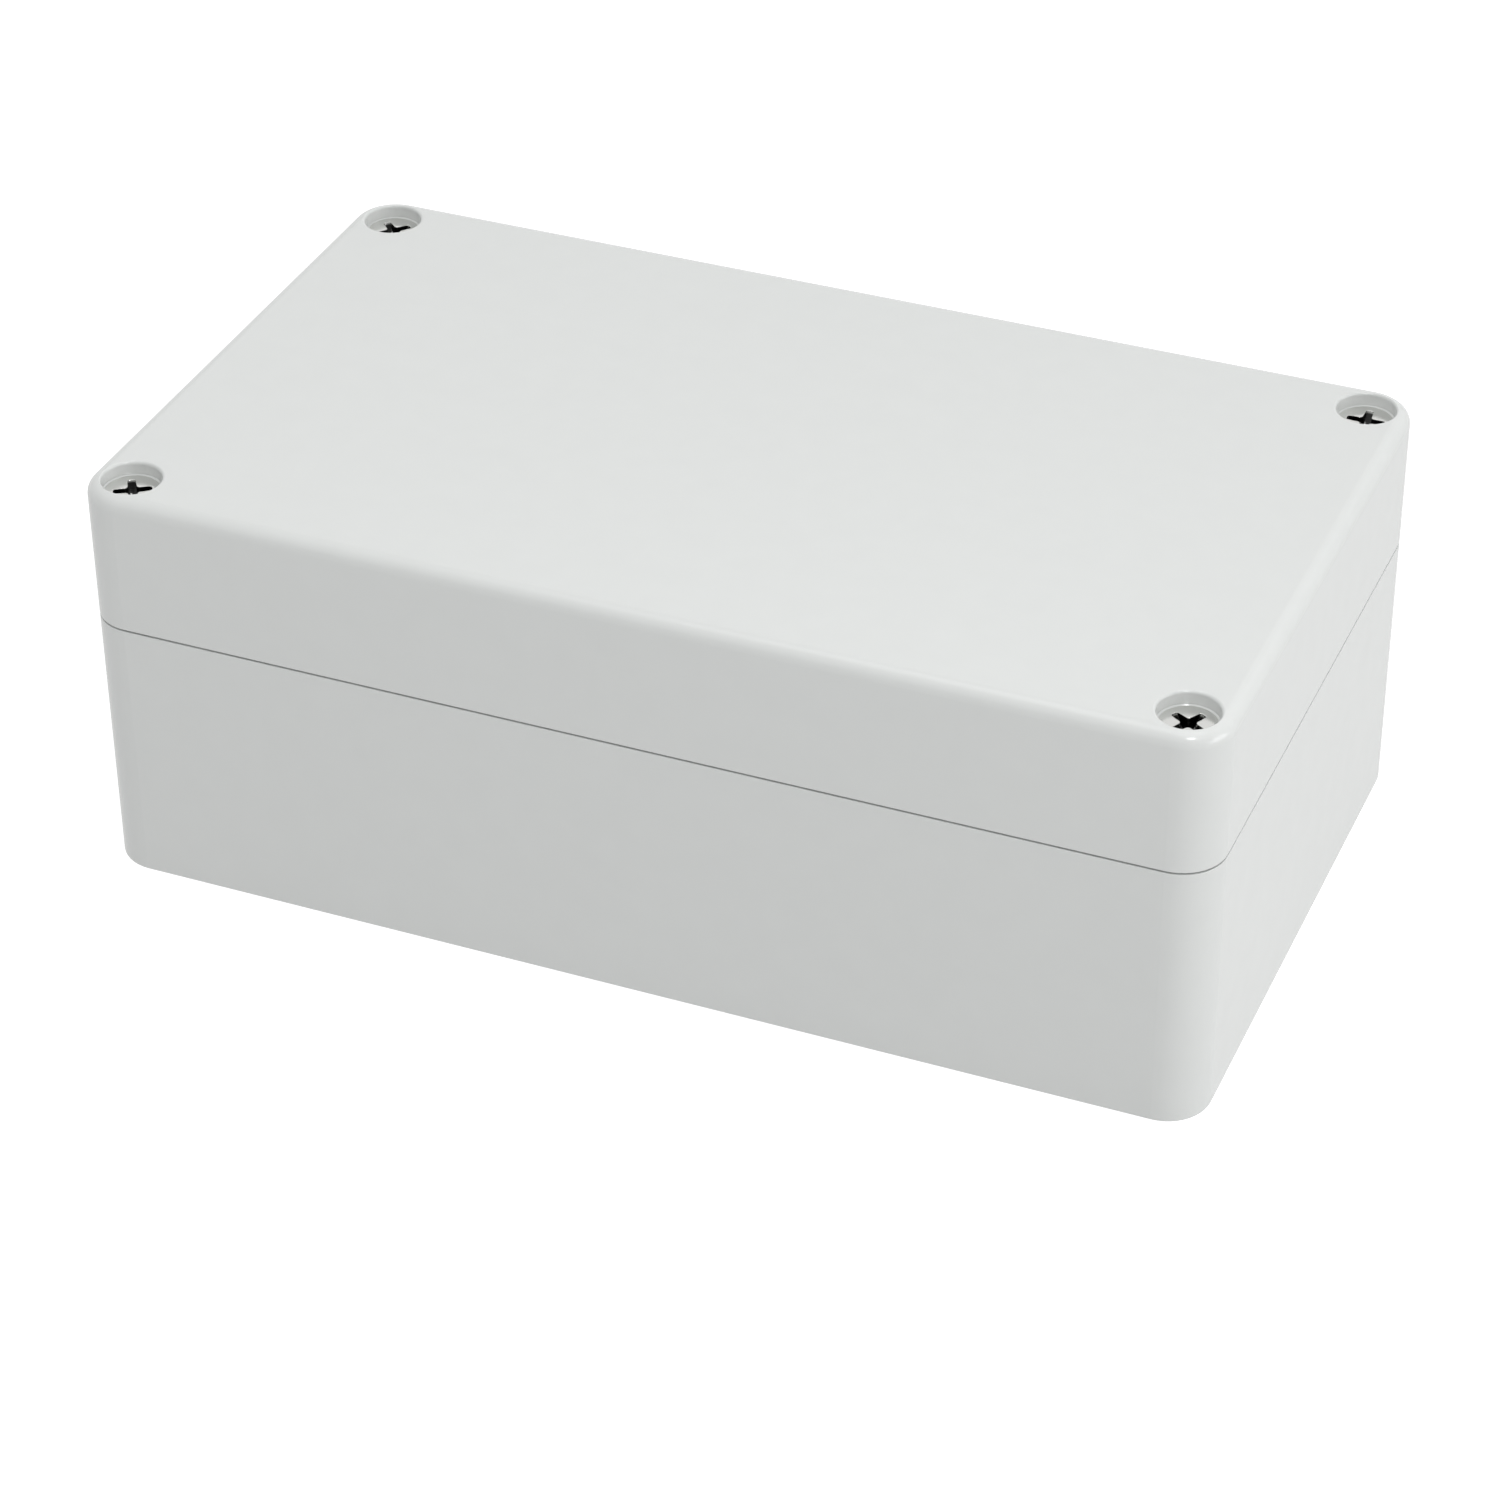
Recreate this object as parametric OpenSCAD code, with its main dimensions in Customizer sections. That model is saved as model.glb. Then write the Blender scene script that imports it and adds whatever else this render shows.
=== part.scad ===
// Sealed plastic project box: a deep base and a screwed-down lid that meet on a tongue and groove.
// A soft cord lies in the lid's groove and the base's tongue presses on it, so the corner posts,
// which hold the lid screws and the wall fixings, stay outside the sealed space.
//
// Millimetres, +Z up. The origin is the centre of the underside. X runs along the box.

/* [Box] */
// Outside length
box_l = 158; // [150:1:220]
// Outside width
box_w = 90; // [86:1:140]
// Outside height of the closed box
box_h = 60; // [50:1:100]
// Height of the parting line above the underside
seam_z = 39.5; // [30:0.5:41]
// Open gap that shows at the parting line
seam_gap = 0.3; // [0.1:0.05:0.5]
// Plan radius of the four upright edges
corner_r = 6.2; // [5:0.1:7]

/* [Walls] */
// Thickness of the base's side walls
base_wall = 2.8; // [2.4:0.1:3.2]
// Thickness of the base's floor
floor_t = 2.8; // [2:0.1:4]
// Thickness of the lid's top
top_t = 2.8; // [2:0.1:3.2]
// Radius along the lid's top edge
lid_edge_r = 2; // [1:0.1:3]
// Radius along the base's bottom edge
base_edge_r = 0.6; // [0.3:0.1:1.5]
// Edge break on both sides of the parting line
seam_edge_r = 0.1; // [0.1:0.05:0.3]

/* [Seal] */
// Width of the groove in the lid
groove_w = 1.8; // [1.5:0.1:2.2]
// Depth of the groove in the lid
groove_depth = 4; // [3.6:0.1:6]
// Thickness of the lid's lip inside the groove
lip_t = 1.05; // [0.8:0.05:1.4]
// Thickness of the base's tongue
tongue_t = 1.1; // [0.8:0.05:1.2]
// Height of the cord once the tongue has flattened it
seal_h = 1.4; // [1:0.1:1.6]
// Rounding of the flattened cord's edges
seal_round = 0.45; // [0.2:0.05:0.45]
// Play between the cord and each side of its groove
seal_play = 0.05; // [0.03:0.01:0.1]
// Gap between the two cut ends of the cord
seal_joint = 0.3; // [0.1:0.1:1]
// Distance of that joint from the middle of the back wall
seal_joint_x = 20; // [0:1:40]
// Radius at which the seal turns its outward corners
seal_turn_r = 2.5; // [2.2:0.1:3]
// Radius at which the seal passes round the wall fixing
post_r = 6.5; // [6.2:0.1:7.5]

/* [Lid screws] */
// Distance of each screw's axis from the outside faces
screw_inset = 6; // [5.9:0.1:6.5]
// Thread diameter of the screws
thread_d = 3.9; // [3.5:0.1:4]
// Length of thread that a screw has in its insert
thread_grip = 6.2; // [5:0.1:7]
// Diameter of the countersunk head
head_d = 7.5; // [7:0.1:8]
// Height of the head's straight rim
head_rim = 0.2; // [0.1:0.05:0.4]
// Chamfer at the screw's tip
tip_chamfer = 0.5; // [0.3:0.1:0.7]
// Depth of the head's top below the lid
head_depth = 1.9; // [1:0.1:2.4]
// Play of the head in its recess, on the radius
head_play = 0.3; // [0.3:0.05:0.5]
// Play between the head's cone and its seat
seat_play = 0.07; // [0.05:0.01:0.15]
// Play of the thread in the lid's hole, on the radius
shank_play = 0.25; // [0.15:0.05:0.5]
// Rounding of the recess's mouth
mouth_r = 0.4; // [0.2:0.1:0.9]
// Span of the cross recess
cross_span = 5; // [4:0.1:5.4]
// Width of the cross recess's wings
cross_wing = 1.1; // [0.8:0.1:1.3]
// Depth of the cross recess
cross_depth = 2.2; // [1.8:0.1:2.4]

/* [Threaded inserts] */
// Outside diameter over the knurl
insert_d = 5.6; // [5.4:0.1:6.2]
// Length of an insert
insert_l = 8; // [6:0.5:10]
// Depth of the knurl
knurl_depth = 0.25; // [0.15:0.05:0.4]
// Teeth round the knurl
knurl_teeth = 28; // [20:2:36]
// Plain length above, between and below the two knurled bands
knurl_land = 0.9; // [0.4:0.1:1.2]
// Chamfer at the insert's mouth
insert_chamfer = 0.4; // [0.2:0.1:0.5]
// Play between a screw's thread and its insert, on the radius
thread_play = 0.05; // [0.03:0.01:0.08]
// Play between an insert and its hole, on the radius
insert_play = 0.02; // [0.01:0.01:0.05]

/* [Wall fixings] */
// Distance from a lid screw to the wall fixing beside it
fixing_pitch = 12; // [11:0.5:14]
// Diameter of the hole through the floor
fixing_d = 4.5; // [3.5:0.1:5]
// Diameter of the well that takes the fixing screw's head
well_d = 8.5; // [8:0.1:9]
// Floor left under that head
fixing_floor = 3.5; // [3:0.5:6]

/* [Board bosses] */
// Distance between bosses along the box
boss_span_x = 130; // [100:1:132]
// Distance between bosses across the box
boss_span_y = 50; // [30:1:50]
// Outside diameter of a boss
boss_d = 6.4; // [5.5:0.1:7]
// Height of a boss above the floor
boss_h = 5; // [3:0.5:8]
// Pilot hole for the board's screws
pilot_d = 2.5; // [2:0.1:3]
// Depth of the pilot hole
pilot_depth = 6; // [4:0.5:6]
// Flare at a boss's foot
boss_foot = 0.8; // [0.4:0.1:1.2]

/* [Hidden] */
$fn = 96;
CORNERS = ["front_left", "front_right", "back_left", "back_right"];

// How far a cut runs past the face it opens on.
over = 1;

// Heights of the parting faces, the cavity and the seal.
base_top = seam_z - seam_gap / 2;
lid_bottom = seam_z + seam_gap / 2;
cavity_top = box_h - top_t;
groove_top = lid_bottom + groove_depth;
seal_bottom = groove_top - seal_h;

// The seal's centre line lies in the middle of the tongue, whose inner face is flush with the wall.
seal_inset = base_wall - tongue_t / 2;
seal_x = box_l / 2 - seal_inset;
seal_y = box_w / 2 - seal_inset;
lip_offset = groove_w / 2 + lip_t;

// Axes of the lid screw and of the wall fixing in the corner at +X +Y.
screw_x = box_l / 2 - screw_inset;
screw_y = box_w / 2 - screw_inset;
fixing_x = screw_x - fixing_pitch;

// Centres of the two outward bends that the seal makes in that corner.
bend_a = [fixing_x - post_r - seal_turn_r, seal_y - seal_turn_r];
bend_b = [seal_x - seal_turn_r, screw_y - post_r - seal_turn_r];

// Heights along a lid screw.
head_top = box_h - head_depth;
head_cone = (head_d - thread_d) / 2;
screw_tip = base_top - thread_grip;
screw_l = head_top - screw_tip;
recess_d = head_d + 2 * head_play;
shank_hole_d = thread_d + 2 * shank_play;
cone_top = head_top - head_rim - seat_play + head_play;
cone_bottom = cone_top - (recess_d - shank_hole_d) / 2;

// The hole under each insert keeps the post's section even and takes the screw's tip.
insert_bore_d = thread_d + 2 * thread_play;
core_d = insert_d - 1;
core_bottom = floor_t + 3;

// Repeats its children in the four corners of the box.
module each_corner() {
    for (sx = [-1, 1], sy = [-1, 1])
        scale_to_corner(sx, sy) children();
}

// Mirrors its children from the corner at +X +Y into the one that the signs name.
module scale_to_corner(sx, sy) {
    mirror([sx < 0 ? 1 : 0, 0, 0])
        mirror([0, sy < 0 ? 1 : 0, 0])
            children();
}

// The part of a square of side r that lies outside its inscribed quarter circle.
module corner_waste(r) {
    difference() {
        square(r + over);
        circle(r);
    }
}

// Upright section of a block's rim: reach wide, with its outer corners rounded.
module rim_profile(reach, z0, z1, low_r, high_r) {
    difference() {
        translate([0, z0]) square([reach, z1 - z0]);
        translate([reach - high_r, z1 - high_r]) corner_waste(high_r);
        translate([reach - low_r, z0 + low_r]) mirror([0, 1]) corner_waste(low_r);
    }
}

// A block with upright edges of radius plan_r and rounded edges along its bottom and top.
module rounded_block(l, w, plan_r, z0, z1, low_r, high_r) {
    core_x = l / 2 - plan_r;
    core_y = w / 2 - plan_r;
    translate([-core_x, -core_y, z0]) cube([2 * core_x, 2 * core_y, z1 - z0]);
    for (turn = [0, 180]) {
        rotate(turn) translate([core_x, core_y, 0]) rotate([90, 0, 0])
            linear_extrude(2 * core_y) rim_profile(plan_r, z0, z1, low_r, high_r);
        rotate(turn) translate([-core_x, core_y, 0]) rotate([90, 0, 90])
            linear_extrude(2 * core_x) rim_profile(plan_r, z0, z1, low_r, high_r);
    }
    each_corner()
        translate([core_x, core_y, 0])
            rotate_extrude(angle = 90) rim_profile(plan_r, z0, z1, low_r, high_r);
}

// Plan of the space inside the seal, moved inwards from the seal's centre line by inset.
// Each corner is cut back round the post that holds a lid screw and a wall fixing.
module seal_plan(inset) {
    difference() {
        square([2 * (seal_x - inset), 2 * (seal_y - inset)], center = true);
        each_corner() post_plan(post_r + inset);
        each_corner() for (bend = [bend_a, bend_b])
            translate(bend) corner_waste(seal_turn_r - inset);
    }
}

// Plan of a corner post, running on past the outside of the box.
module post_plan(r) {
    translate([fixing_x, screw_y]) circle(r);
    translate([fixing_x, screw_y - r]) square([box_l, box_w]);
    translate([fixing_x - r, screw_y]) square([box_l, box_w]);
}

// A band along the seal's centre line.
module seal_band(width) {
    difference() {
        seal_plan(-width / 2);
        seal_plan(width / 2);
    }
}

// Bore for a threaded insert, with the narrower core hole under it.
module insert_hole() {
    translate([screw_x, screw_y, 0]) {
        translate([0, 0, base_top - insert_l])
            cylinder(d = insert_d + 2 * insert_play, h = insert_l + over);
        translate([0, 0, core_bottom]) cylinder(d = core_d, h = base_top - core_bottom);
    }
}

// Hole and well for a wall fixing, reached with the lid off.
module fixing_hole() {
    translate([fixing_x, screw_y, 0]) {
        translate([0, 0, -over]) cylinder(d = fixing_d, h = fixing_floor + 2 * over);
        translate([0, 0, fixing_floor]) cylinder(d = well_d, h = base_top);
    }
}

// A boss for a circuit board, standing on the floor.
module board_boss() {
    translate([0, 0, floor_t - over / 2]) cylinder(d = boss_d, h = boss_h + over / 2);
    translate([0, 0, floor_t - over / 2]) cylinder(d = boss_d + 2 * boss_foot, h = over / 2);
    translate([0, 0, floor_t])
        cylinder(d1 = boss_d + 2 * boss_foot, d2 = boss_d, h = boss_foot);
}

// Places its children at the six board bosses.
module at_bosses() {
    for (x = [-boss_span_x / 2, 0, boss_span_x / 2], y = [-boss_span_y / 2, boss_span_y / 2])
        translate([x, y, 0]) children();
}

module base() {
    color("gainsboro") difference() {
        union() {
            difference() {
                rounded_block(box_l, box_w, corner_r, 0, base_top, base_edge_r, seam_edge_r);
                translate([0, 0, floor_t]) linear_extrude(box_h) seal_plan(tongue_t / 2);
            }
            translate([0, 0, base_top - over])
                linear_extrude(seal_bottom - base_top + over) seal_band(tongue_t);
            at_bosses() board_boss();
        }
        each_corner() insert_hole();
        each_corner() fixing_hole();
        at_bosses() translate([0, 0, floor_t + boss_h - pilot_depth])
            cylinder(d = pilot_d, h = pilot_depth + over);
    }
}

// Screw hole in the lid: rounded mouth, head recess, conical seat and clearance hole.
module lid_screw_hole() {
    translate([screw_x, screw_y, 0]) {
        translate([0, 0, lid_bottom - over]) cylinder(d = shank_hole_d, h = box_h);
        translate([0, 0, cone_bottom])
            cylinder(d1 = shank_hole_d, d2 = recess_d, h = cone_top - cone_bottom);
        translate([0, 0, cone_top]) cylinder(d = recess_d, h = box_h);
        rotate_extrude() translate([recess_d / 2 + mouth_r, box_h - mouth_r])
            mirror([1, 0]) corner_waste(mouth_r);
    }
}

// Pocket in the lid over a wall fixing's well, which clears the fixing screw.
module lid_pocket() {
    translate([fixing_x, screw_y, lid_bottom - over])
        cylinder(d = well_d, h = cavity_top - lid_bottom + over);
}

module lid() {
    color("gainsboro") difference() {
        rounded_block(box_l, box_w, corner_r, lid_bottom, box_h, seam_edge_r, lid_edge_r);
        translate([0, 0, lid_bottom - over])
            linear_extrude(cavity_top - lid_bottom + over) seal_plan(lip_offset);
        translate([0, 0, lid_bottom - over])
            linear_extrude(groove_depth + over) seal_band(groove_w);
        each_corner() lid_screw_hole();
        each_corner() lid_pocket();
    }
}

// Section of the flattened cord, its middle on the origin.
module cord_section() {
    half_w = groove_w / 2 - seal_play;
    half_h = seal_h / 2;
    difference() {
        square([2 * half_w, 2 * half_h], center = true);
        for (sx = [0, 1], sy = [0, 1])
            mirror([sx, 0]) mirror([0, sy])
                translate([half_w - seal_round, half_h - seal_round]) corner_waste(seal_round);
    }
}

// A straight stretch of the cord along +X.
module cord_run(length) {
    rotate([90, 0, 90]) linear_extrude(length) cord_section();
}

// A quarter turn of the cord about the origin, from +X to +Y.
module cord_bend(r) {
    rotate_extrude(angle = 90) translate([r, 0]) cord_section();
}

// A quarter of the cord's route, from the middle of the long side to the middle of the short one.
module cord_quarter() {
    translate([0, seal_y, 0]) cord_run(bend_a.x);
    translate(bend_a) cord_bend(seal_turn_r);
    translate([fixing_x - post_r, screw_y, 0]) rotate(90) cord_run(bend_a.y - screw_y);
    translate([fixing_x, screw_y, 0]) rotate(180) cord_bend(post_r);
    translate([fixing_x, screw_y - post_r, 0]) cord_run(bend_b.x - fixing_x);
    translate(bend_b) cord_bend(seal_turn_r);
    translate([seal_x, 0, 0]) rotate(90) cord_run(bend_b.y);
}

module seal() {
    color("antiquewhite") difference() {
        translate([0, 0, seal_bottom + seal_h / 2]) each_corner() cord_quarter();
        translate([seal_joint_x - seal_joint / 2, seal_y - groove_w, seal_bottom - over])
            cube([seal_joint, 2 * groove_w, seal_h + 2 * over]);
    }
}

// A cone that is d_low wide at its bottom, d_high wide h above it, and runs on past that.
module open_cone(d_low, d_high, h) {
    cylinder(d1 = d_low, d2 = d_high + (d_high - d_low) * over / h, h = h + over);
}

// Cross recess of a screw's head: four wings inside a cone, round a tapered middle.
module cross_recess() {
    translate([0, 0, -cross_depth]) {
        intersection() {
            union() for (turn = [0, 90]) rotate(turn)
                translate([-cross_span, -cross_wing / 2, 0])
                    cube([2 * cross_span, cross_wing, cross_depth + 2 * over]);
            open_cone(cross_wing, cross_span, cross_depth);
        }
        open_cone(cross_wing / 2, 2 * cross_wing, cross_depth);
    }
}

// Countersunk lid screw. The thread is drawn as a plain shank of its outside diameter.
module screw() {
    color("silver") translate([screw_x, screw_y, head_top]) difference() {
        union() {
            translate([0, 0, -head_rim]) cylinder(d = head_d, h = head_rim);
            translate([0, 0, -head_rim - head_cone])
                cylinder(d1 = thread_d, d2 = head_d, h = head_cone);
            translate([0, 0, tip_chamfer - screw_l])
                cylinder(d = thread_d, h = screw_l - tip_chamfer - head_rim - head_cone / 2);
            translate([0, 0, -screw_l])
                cylinder(d1 = thread_d - 2 * tip_chamfer, d2 = thread_d, h = tip_chamfer);
        }
        cross_recess();
    }
}

// Plan of the knurl: a ring of straight-flanked teeth.
module knurl_plan() {
    tooth = 360 / knurl_teeth;
    polygon([
        for (i = [0 : knurl_teeth - 1], side = [0, 1])
            let (r = insert_d / 2 - side * knurl_depth)
                [r * cos((i + side / 2) * tooth), r * sin((i + side / 2) * tooth)]
    ]);
}

// Brass insert: two knurled bands on a plain sleeve, chamfered at its mouth.
module insert() {
    band = (insert_l - 3 * knurl_land) / 2;
    color("goldenrod") translate([screw_x, screw_y, base_top - insert_l]) difference() {
        union() {
            cylinder(d = insert_d - 2 * knurl_depth, h = insert_l);
            for (z = [knurl_land, 2 * knurl_land + band])
                translate([0, 0, z]) linear_extrude(band) knurl_plan();
        }
        translate([0, 0, -over]) cylinder(d = insert_bore_d, h = insert_l + 2 * over);
        translate([0, 0, insert_l - insert_chamfer])
            cylinder(d1 = insert_bore_d, d2 = insert_bore_d + 2 * insert_chamfer,
                     h = insert_chamfer);
    }
}

base();
lid();
seal();
for (i = [0 : 3]) {
    sx = i % 2 == 0 ? -1 : 1;
    sy = i < 2 ? -1 : 1;
    scale_to_corner(sx, sy) screw();
    scale_to_corner(sx, sy) insert();
}
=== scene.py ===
"""Looks of a sealed plastic project box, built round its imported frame.

The base and the lid keep their own meshes and get their finish here. The lid screws, the threaded
inserts and the seal cord are made anew, with their threads, recesses, knurls and foam skin.
Lengths are in metres, and the box stands on z = 0 with its long side along X.
"""

import logging
import math
from dataclasses import dataclass
from enum import Enum

import bpy
import numpy as np
from mathutils import Matrix, Vector


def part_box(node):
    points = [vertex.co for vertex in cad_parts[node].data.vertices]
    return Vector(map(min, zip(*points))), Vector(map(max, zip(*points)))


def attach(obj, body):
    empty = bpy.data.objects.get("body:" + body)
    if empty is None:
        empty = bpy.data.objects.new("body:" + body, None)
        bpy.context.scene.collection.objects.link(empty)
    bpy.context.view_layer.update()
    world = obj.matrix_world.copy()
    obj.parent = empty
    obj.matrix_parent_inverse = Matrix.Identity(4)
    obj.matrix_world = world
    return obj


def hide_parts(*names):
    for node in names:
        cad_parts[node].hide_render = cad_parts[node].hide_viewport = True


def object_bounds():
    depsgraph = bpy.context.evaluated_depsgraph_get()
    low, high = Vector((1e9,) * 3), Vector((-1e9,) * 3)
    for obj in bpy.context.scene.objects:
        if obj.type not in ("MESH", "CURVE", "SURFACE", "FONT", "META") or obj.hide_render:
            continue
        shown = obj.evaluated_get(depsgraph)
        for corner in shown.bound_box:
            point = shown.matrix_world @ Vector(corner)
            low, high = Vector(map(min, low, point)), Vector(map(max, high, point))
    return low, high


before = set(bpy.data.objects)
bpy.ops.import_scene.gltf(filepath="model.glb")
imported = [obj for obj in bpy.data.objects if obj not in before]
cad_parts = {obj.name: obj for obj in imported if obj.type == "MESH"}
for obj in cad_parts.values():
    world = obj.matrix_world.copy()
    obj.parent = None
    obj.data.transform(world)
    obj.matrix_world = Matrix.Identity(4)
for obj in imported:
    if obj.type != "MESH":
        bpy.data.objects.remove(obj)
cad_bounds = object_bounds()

LOG = logging.getLogger("project_box")
MM = 0.001
ARC_POINTS = 13


class Corner(Enum):
    """The four corners of the box, each with its signs along X and Y."""

    FRONT_LEFT = (-1, -1)
    FRONT_RIGHT = (1, -1)
    BACK_LEFT = (-1, 1)
    BACK_RIGHT = (1, 1)

    @property
    def label(self) -> str:
        """The corner's name as the nodes spell it."""
        return self.name.lower()


# ---------------------------------------------------------------------------------------------
# Meshes
# ---------------------------------------------------------------------------------------------


def tube_mesh(name: str, rings: np.ndarray, closed_path: bool = False) -> bpy.types.Object:
    """Makes a closed surface from a stack of rings of points.

    Every ring has the same number of points and closes on itself. Neighbouring rings are joined
    by quads. The stack either closes on itself or ends in a fan about the middle of each end.

    Args:
        name: Name of the object and of its mesh.
        rings: Points, shaped (rings, points in a ring, 3).
        closed_path: Whether the last ring joins the first.

    Returns:
        The object, at the origin, with smooth faces that point outwards.
    """
    count, around, _ = rings.shape
    index = np.arange(count * around).reshape(count, around)
    right = np.roll(index, -1, axis=1)
    if closed_path:
        low, high = index, np.roll(index, -1, axis=0)
        low_right, high_right = right, np.roll(right, -1, axis=0)
    else:
        low, high = index[:-1], index[1:]
        low_right, high_right = right[:-1], right[1:]
    quads = np.stack([low, low_right, high_right, high], axis=-1).reshape(-1, 4)
    points = rings.reshape(-1, 3)
    fans = np.empty((0, 3), dtype=int)
    if not closed_path:
        first, last = count * around, count * around + 1
        points = np.vstack([points, rings[0].mean(axis=0), rings[-1].mean(axis=0)])
        fans = np.vstack(
            [
                np.stack([right[0], index[0], np.full(around, first)], axis=-1),
                np.stack([index[-1], right[-1], np.full(around, last)], axis=-1),
            ]
        )
    return mesh_object(name, points, quads, fans)


def mesh_object(
    name: str, points: np.ndarray, quads: np.ndarray, triangles: np.ndarray
) -> bpy.types.Object:
    """Puts points, quads and triangles into a new object.

    The faces are turned outwards if the volume that they enclose comes out negative. The volume
    is the sum over the triangles of a sixth of the triple product of their corners.

    Args:
        name: Name of the object and of its mesh.
        points: Points, shaped (n, 3).
        quads: Corner numbers, shaped (q, 4).
        triangles: Corner numbers, shaped (t, 3).

    Returns:
        The object, at the origin.
    """
    split = np.vstack([quads[:, [0, 1, 2]], quads[:, [0, 2, 3]], triangles])
    a, b, c = (points[split[:, k]] for k in range(3))
    if np.einsum("ij,ij->i", a, np.cross(b, c)).sum() < 0:
        quads, triangles = quads[:, ::-1], triangles[:, ::-1]
    corners = np.concatenate([quads.ravel(), triangles.ravel()]).astype(np.int32)
    starts = np.concatenate(
        [np.arange(len(quads)) * 4, len(quads) * 4 + np.arange(len(triangles)) * 3]
    ).astype(np.int32)
    mesh = bpy.data.meshes.new(name)
    mesh.vertices.add(len(points))
    mesh.vertices.foreach_set("co", points.astype(np.float32).ravel())
    mesh.loops.add(len(corners))
    mesh.loops.foreach_set("vertex_index", corners)
    mesh.polygons.add(len(starts))
    mesh.polygons.foreach_set("loop_start", starts)
    mesh.update(calc_edges=True)
    mesh.validate()
    mesh.polygons.foreach_set("use_smooth", np.ones(len(mesh.polygons), dtype=bool))
    made = bpy.data.objects.new(name, mesh)
    bpy.context.scene.collection.objects.link(made)
    return made


def crease(made: bpy.types.Object, degrees: float) -> None:
    """Marks the edges that turn by more than degrees as sharp."""
    made.data.set_sharp_from_angle(angle=math.radians(degrees))


def revolve(profile: np.ndarray, around: int) -> tuple[np.ndarray, np.ndarray, np.ndarray]:
    """Spreads a profile round the Z axis.

    Args:
        profile: Radius and height of each point, shaped (n, 2).
        around: Number of steps in a full turn.

    Returns:
        Radius, height and angle, each shaped (n, around).
    """
    angle = np.linspace(0, 2 * math.pi, around, endpoint=False)
    radius = np.repeat(profile[:, :1], around, axis=1)
    height = np.repeat(profile[:, 1:2], around, axis=1)
    return radius, height, np.repeat(angle[None, :], len(profile), axis=0)


def to_points(
    radius: np.ndarray, height: np.ndarray, angle: np.ndarray, centre: tuple[float, float]
) -> np.ndarray:
    """Cylindrical coordinates about an upright axis as points, shaped (n, around, 3)."""
    return np.stack(
        [
            centre[0] + radius * np.cos(angle),
            centre[1] + radius * np.sin(angle),
            height,
        ],
        axis=-1,
    )


def thread_wave(
    height: np.ndarray, angle: np.ndarray, pitch: float, start: float
) -> np.ndarray:
    """Share of a thread's depth at each point, from 0 at the crest to 1 at the root.

    The place across the pitch is the fractional part of (height - start) / pitch - turn. The
    crest is flat for an eighth of the pitch and the root for a quarter, with straight flanks.

    Args:
        height: Height of each point.
        angle: Angle of each point about the axis, in radians.
        pitch: Height that one turn of the thread climbs.
        start: Height of a crest at angle 0.

    Returns:
        The share of the depth, of the same shape.
    """
    place = np.mod((height - start) / pitch - angle / (2 * math.pi), 1.0)
    from_crest = np.minimum(place, 1 - place)
    crest, root = 1 / 16, 1 / 2 - 1 / 8
    return np.clip((from_crest - crest) / (root - crest), 0, 1)


# ---------------------------------------------------------------------------------------------
# Shader groups and finishes
# ---------------------------------------------------------------------------------------------


class NodeTree:
    """A thin hand on a node tree, which adds nodes and links them by name."""

    def __init__(self, tree: bpy.types.NodeTree) -> None:
        """Takes the tree to build in."""
        self.tree = tree

    def add(self, kind: str, **settings: object) -> bpy.types.Node:
        """Adds a node.

        Args:
            kind: The node's type name, without its leading ShaderNode.
            **settings: Properties of the node. An "inputs" entry maps input names or numbers to
                values or to the output sockets that feed them.

        Returns:
            The node.
        """
        inputs = settings.pop("inputs", {})
        node = self.tree.nodes.new(f"ShaderNode{kind}")
        for key, value in settings.items():
            setattr(node, key, value)
        for key, value in inputs.items():
            if isinstance(value, bpy.types.NodeSocket):
                self.tree.links.new(value, node.inputs[key])
            else:
                node.inputs[key].default_value = value
        return node

    def math(self, operation: str, *values: object) -> bpy.types.NodeSocket:
        """Adds a Math node on values or sockets and returns its output."""
        return self.add("Math", operation=operation, inputs=dict(enumerate(values))).outputs[0]

    def seen_or_lit(self, seen: object, lit: object) -> bpy.types.NodeSocket:
        """Adds nodes that give one value to the camera's own rays and another to all the rest."""
        direct = self.add("LightPath").outputs["Is Camera Ray"]
        return self.add("Mix", inputs={"Factor": direct, 2: lit, 3: seen}).outputs[0]


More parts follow.
